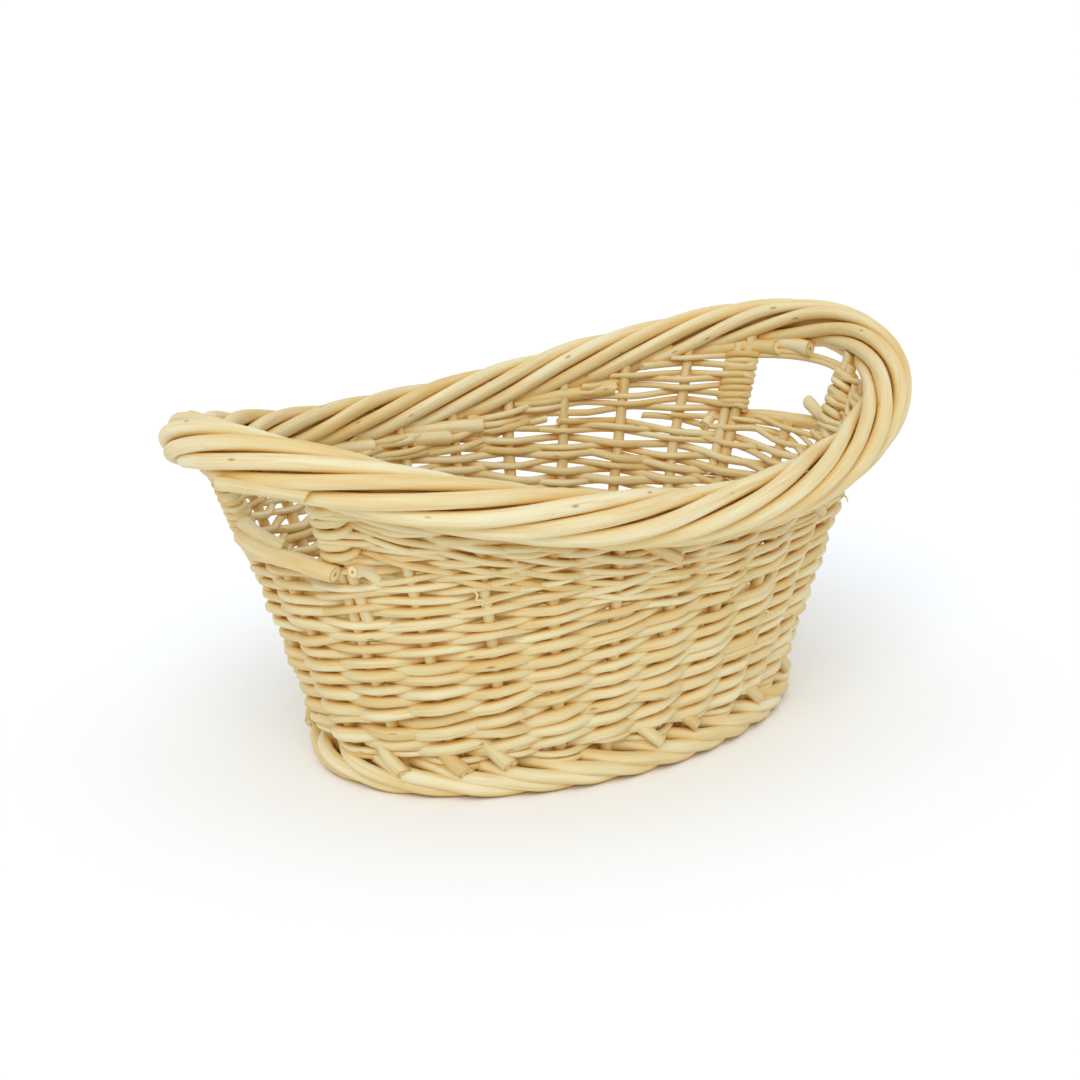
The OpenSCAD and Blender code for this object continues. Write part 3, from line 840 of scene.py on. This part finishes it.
def border_rod(k):
    """A rod of the rope: it comes out under the rope's inner side, makes one turn and goes back in."""
    before, reach = SHOWN_BUTTS.get(k, HIDDEN_BUTT)
    v = np.arange(-before, STRANDS + 0.5, 1 / POINTS_A_BAY)
    n = len(v)
    entering = np.clip((JOINED - v) / (before + JOINED), 0.0, 1.0) ** 1.3
    leaving = np.clip((v - STRANDS + 0.5) / 0.9, 0.0, 1.0)
    radius = STRAND_RING + entering * reach - leaving * 4.0 + wander(n, 0.45, 14) * (1 - entering)
    phase = ENTRY_ANGLE + 360.0 / STRANDS * v + wander(n, 3.0, 14)
    phase = np.where(v < JOINED, phase + entering * (60.0 * before - 32.0), phase)
    thick = STRAND_D * RNG.uniform(0.93, 1.08)
    return rod(rope(k + v, radius, np.radians(phase)), thick, thick * 0.86, 0.02)


def make_border():
    core_u = np.linspace(0.0, STAKES, CORE_POINTS, endpoint=False)
    core = ring_rod(rope(core_u, np.full(CORE_POINTS, 0.3), np.zeros(CORE_POINTS)), CORE_D)
    place(rods_piece("border_core_willow", [core], STAKING, 8), "border_willow", "border_core")
    rods = [border_rod(k) for k in range(STAKES)]
    place(rods_piece("border_rods_willow", rods, BORDERING, 14), "border_willow",
          "border_rods_front", "border_rods_back", "border_rods_left", "border_rods_right")


# ------------------------------------------------------------------ under the border

PACKER_STEP = 2.8
PACKER_D = 3.8                 # of the upper packers, and of those below them
THIN_PACKER_D = 3.0
THICK_PACKERS = 4
PACKER_LAP = STAKE_R + 1.2
# Each side's packers: the stakes that they run between, and how many.
PACKERS = {"back": (4.0, 12.8, 4), "front": (LEFT + 1.2, RIGHT - 1.2, 10)}
RIM_STUBS = (19.6, 22.7, 25.6)
TUCKED_BUTT = (14.15, 15.3)    # where the butt lying in the border's groove starts and ends
# Torn fibres, as (u, z): two tufts beside the +X hand hole, and single ones.
FIBRES = [(27.1, 112.0)] * 7 + [(26.8, 107.0)] * 6 + [
    (24.2, 96.0), (21.3, 88.0), (17.4, 42.0), (18.6, 58.0), (16.8, 96.0), (20.2, 34.0), (22.4, 60.0)]


def rim_packer(first, last, i):
    """A thin rod woven close under the border, along one side."""
    u = np.arange(first + RNG.uniform(0.0, 0.8), last - RNG.uniform(0.0, 0.8), 1 / POINTS_A_BAY)
    n = len(u)
    z = rope_underside(u) + 1.6 - PACKER_STEP * i + wander(n, 0.6, 12)
    sway = PACKER_LAP * to_and_fro(u + i) + wander(n, 0.3, 8)
    thick = PACKER_D if i < THICK_PACKERS else THIN_PACKER_D
    return rod(beside(u, z, sway), thick, thick * 0.8)


def make_rim_packing():
    for name, (first, last, count) in PACKERS.items():
        rods = [rim_packer(first, last, i) for i in range(count)]
        place(rods_piece(name + "_rim_packing_willow", rods, WEAVING, 8), "weaving_willow")


def rim_stub(u):
    """The cut top of a stake, bent down under the border and showing outside it."""
    top = rope_underside(u)
    keys = [(u - 0.35, top + 3.0, 2.0), (u - 0.1, top - 1.0, 5.5), (u + 0.22, top - 6.5, 6.5)]
    return rod(wall_curve(keys, 1.5), 5.4, 5.0, 0.015)


def tucked_butt(first, last):
    """A rod's butt left lying in a groove under the border's outer side."""
    u = np.arange(first, last, 0.1)
    phase = np.radians(-44.0 + 10.0 * (u - first))
    return rod(rope(u, ROPE_R + 1.2 - 3.0 * (u - first) / (last - first), phase), 6.0, 5.4, 0.02)


def fibre(u, z):
    """A torn skin fibre standing out from a rod."""
    n = 12
    k = np.linspace(0.0, 1.0, n)
    way = RNG.uniform(-1.0, 1.0, 3)
    curl = np.stack([wander(n, 1.2, 5) for _ in range(3)], 1) * k[:, None]
    start = wall(np.full(n, float(u)), np.full(n, float(z)), 4.0 + k * RNG.uniform(4.0, 9.0))
    path = start + way * k[:, None] * 5.0 + curl
    return rod(path, 1.1, 0.4, 0.1)


def make_loose_ends():
    stubs = [rim_stub(u) for u in RIM_STUBS] + [tucked_butt(*TUCKED_BUTT)]
    place(rods_piece("rim_stubs_willow", stubs, STAKING, 12), "stake_willow")
    fibres = [fibre(u + RNG.uniform(-0.12, 0.12), z + RNG.uniform(-3, 3)) for u, z in FIBRES]
    place(rods_piece("torn_fibres_willow", fibres, WEAVING, 5, 0.05), "weaving_willow")


make_base()
make_stakes()
make_foot()
make_sides()
make_hand_holes()
make_shoulders()
make_border()
make_rim_packing()
make_loose_ends()


# ------------------------------------------------------------------ studio, in metres

FLOOR_REACH = 12.0
FLOOR_COLOUR = "#F6FAFF"
WORLD_STRENGTH = 0.92
SUN_STRENGTH = 1.0
SUN_WIDTH = math.radians(35.0)
SUN_FROM = (-0.75, -0.62, 0.85)
CAMERA_AZIMUTH = math.radians(-45.2)
CAMERA_ELEVATION = math.radians(15.9)
CAMERA_DISTANCE = 1.083
CAMERA_TARGET_RIGHT = -0.0081  # from the basket's middle to the point looked at
CAMERA_TARGET_Z = 0.0802
CAMERA_LENS_MM = 82.5
CAMERA_SENSOR_MM = 36.0


def studio_material(name, colour, roughness):
    material = bpy.data.materials.new(name)
    material.use_nodes = True
    shader = material.node_tree.nodes["Principled BSDF"]
    shader.inputs["Base Color"].default_value = linear(colour)
    shader.inputs["Roughness"].default_value = roughness
    return material


def make_floor():
    mesh = bpy.data.meshes.new("studio_floor")
    corners = [(x * FLOOR_REACH, y * FLOOR_REACH, 0) for x, y in ((-1, -1), (1, -1), (1, 1), (-1, 1))]
    mesh.from_pydata(corners, [], [(0, 1, 2, 3)])
    mesh.materials.append(studio_material("white_paper", FLOOR_COLOUR, 0.9))
    floor = bpy.data.objects.new("studio_floor", mesh)
    bpy.context.scene.collection.objects.link(floor)


def make_light():
    """An even white surround, and a soft sun from over the camera."""
    world = bpy.data.worlds.new("studio")
    world.use_nodes = True
    background = world.node_tree.nodes["Background"]
    background.inputs["Color"].default_value = (1.0, 1.0, 1.0, 1.0)
    background.inputs["Strength"].default_value = WORLD_STRENGTH
    bpy.context.scene.world = world
    light = bpy.data.lights.new("key", "SUN")
    light.energy = SUN_STRENGTH
    light.angle = SUN_WIDTH
    lamp = bpy.data.objects.new("key", light)
    lamp.rotation_euler = Vector(SUN_FROM).to_track_quat("Z", "Y").to_euler()
    bpy.context.scene.collection.objects.link(lamp)


def make_camera():
    right = Vector((math.cos(CAMERA_AZIMUTH), math.sin(CAMERA_AZIMUTH), 0.0))
    back = Vector((math.sin(CAMERA_AZIMUTH) * math.cos(CAMERA_ELEVATION),
                   -math.cos(CAMERA_AZIMUTH) * math.cos(CAMERA_ELEVATION),
                   math.sin(CAMERA_ELEVATION)))
    data = bpy.data.cameras.new("camera")
    data.lens = CAMERA_LENS_MM
    data.sensor_width = CAMERA_SENSOR_MM
    data.clip_start = 0.01
    camera = bpy.data.objects.new("camera", data)
    camera.location = right * CAMERA_TARGET_RIGHT + Vector((0, 0, CAMERA_TARGET_Z)) + back * CAMERA_DISTANCE
    camera.rotation_euler = back.to_track_quat("Z", "Y").to_euler()
    bpy.context.scene.collection.objects.link(camera)
    bpy.context.scene.camera = camera


make_floor()
make_light()
make_camera()
bpy.context.scene.view_settings.view_transform = "Standard"
